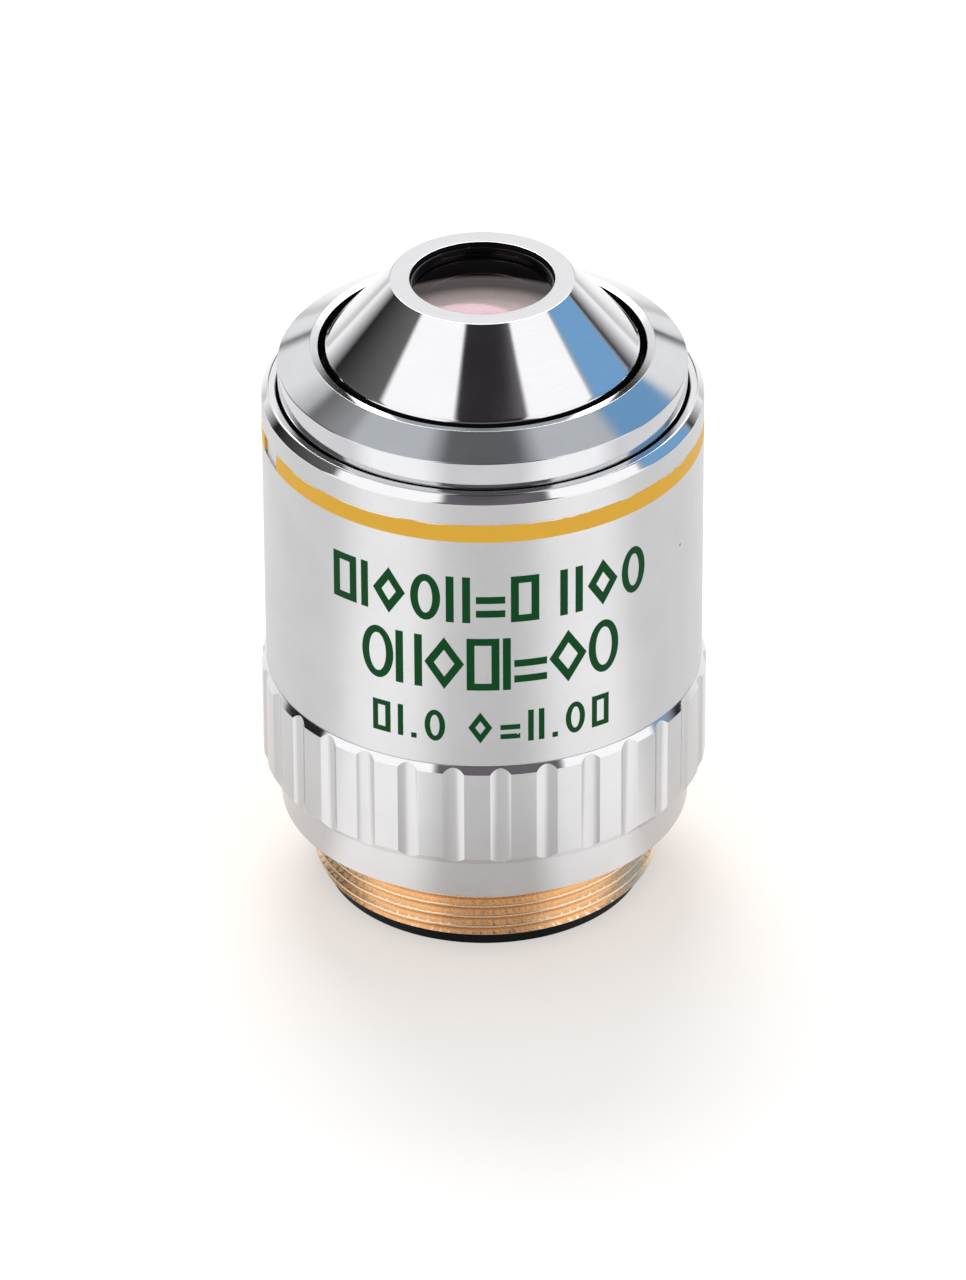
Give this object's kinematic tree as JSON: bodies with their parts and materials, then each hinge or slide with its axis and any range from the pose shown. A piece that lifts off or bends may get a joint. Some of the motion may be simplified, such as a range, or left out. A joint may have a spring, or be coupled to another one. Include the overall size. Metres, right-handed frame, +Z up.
{
  "type": "microscope objective",
  "caption": "Low-power microscope objective with a threaded brass mount, fluted grip ring, colour-banded sleeve, chamfered collar and polished conical nose.",
  "frame": {"origin": "centre of the rear face of the black stop ring, on which the objective stands", "axes": "+Z up the optical axis towards the nose, -Y towards the side that carries the marks"},
  "size_m": [0.0262, 0.0262, 0.0397],
  "materials": {
    "satin_chrome": "satin chrome on turned metal",
    "polished_chrome": "mirror polished",
    "brass": "bare turned brass",
    "black_finish": "matte black anodised",
    "screw_steel": "plain steel",
    "yellow_enamel": "flat enamel filling",
    "green_enamel": "flat enamel filling",
    "coated_glass": "polished optical glass with a reflection-reducing coating"
  },
  "bodies": {
    "root": {"rear_stop_ring": "black_finish", "threaded_barrel": "brass", "centring_screws": "screw_steel", "lower_body": "satin_chrome", "grip_ring": "satin_chrome", "outer_sleeve": "satin_chrome", "colour_band": "yellow_enamel", "sleeve_marks": "green_enamel", "front_collar": "satin_chrome", "nose_cone": "polished_chrome", "front_lens": "coated_glass", "front_lens_ring": "black_finish", "front_doublet_cell": "black_finish", "front_doublet_crown": "coated_glass", "front_doublet_flint": "coated_glass", "front_doublet_ring": "black_finish", "front_cell_lock_ring": "black_finish", "middle_doublet_cell": "black_finish", "middle_doublet_crown": "coated_glass", "middle_doublet_flint": "coated_glass", "middle_doublet_ring": "black_finish", "middle_spacer": "black_finish", "rear_lens_cell": "black_finish", "rear_lens": "coated_glass", "rear_lens_ring": "black_finish", "rear_spacer": "black_finish", "phase_plate_cell": "black_finish", "phase_plate": "coated_glass", "phase_plate_ring": "black_finish", "stack_lock_ring": "black_finish"}
  },
  "joints": []
}
